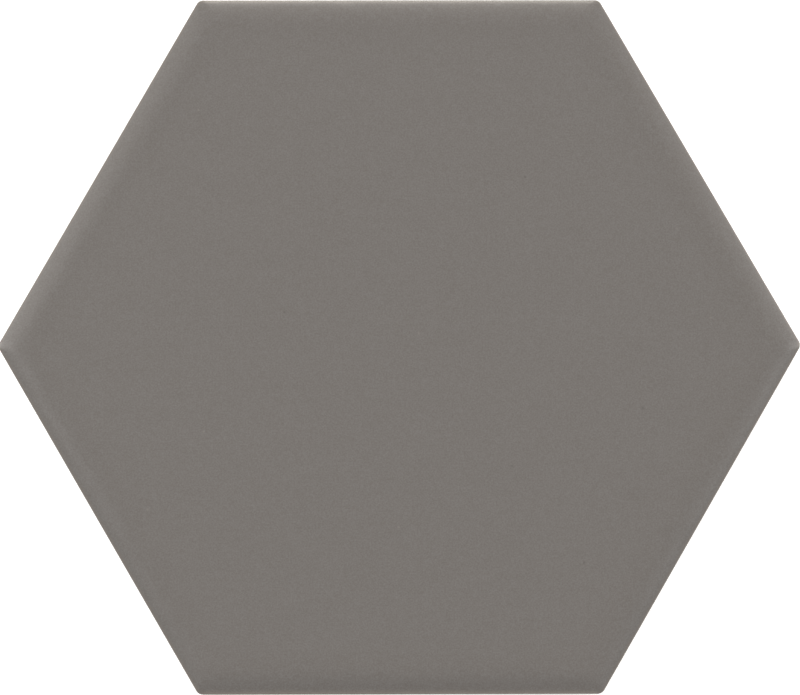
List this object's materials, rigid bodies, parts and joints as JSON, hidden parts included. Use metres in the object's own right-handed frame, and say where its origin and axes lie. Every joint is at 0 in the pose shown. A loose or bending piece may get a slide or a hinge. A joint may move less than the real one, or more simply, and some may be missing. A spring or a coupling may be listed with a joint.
{
  "type": "hexagonal porcelain tile",
  "caption": "Flat hexagonal matt grey porcelain tile with a softly rolled face edge and a keyed back, bedded edge to edge with its neighbours on a wall or floor.",
  "frame": {"origin": "centre of the tile's back, in the plane of its ribs and rim", "axes": "+Z out of the face, +X towards a corner, +Y square to a side"},
  "size_m": [0.1162, 0.101, 0.009],
  "materials": {
    "matt_porcelain": "matt warm grey glaze over a fired porcelain body"
  },
  "bodies": {
    "root": {"porcelain_tile": "matt_porcelain"}
  },
  "joints": []
}
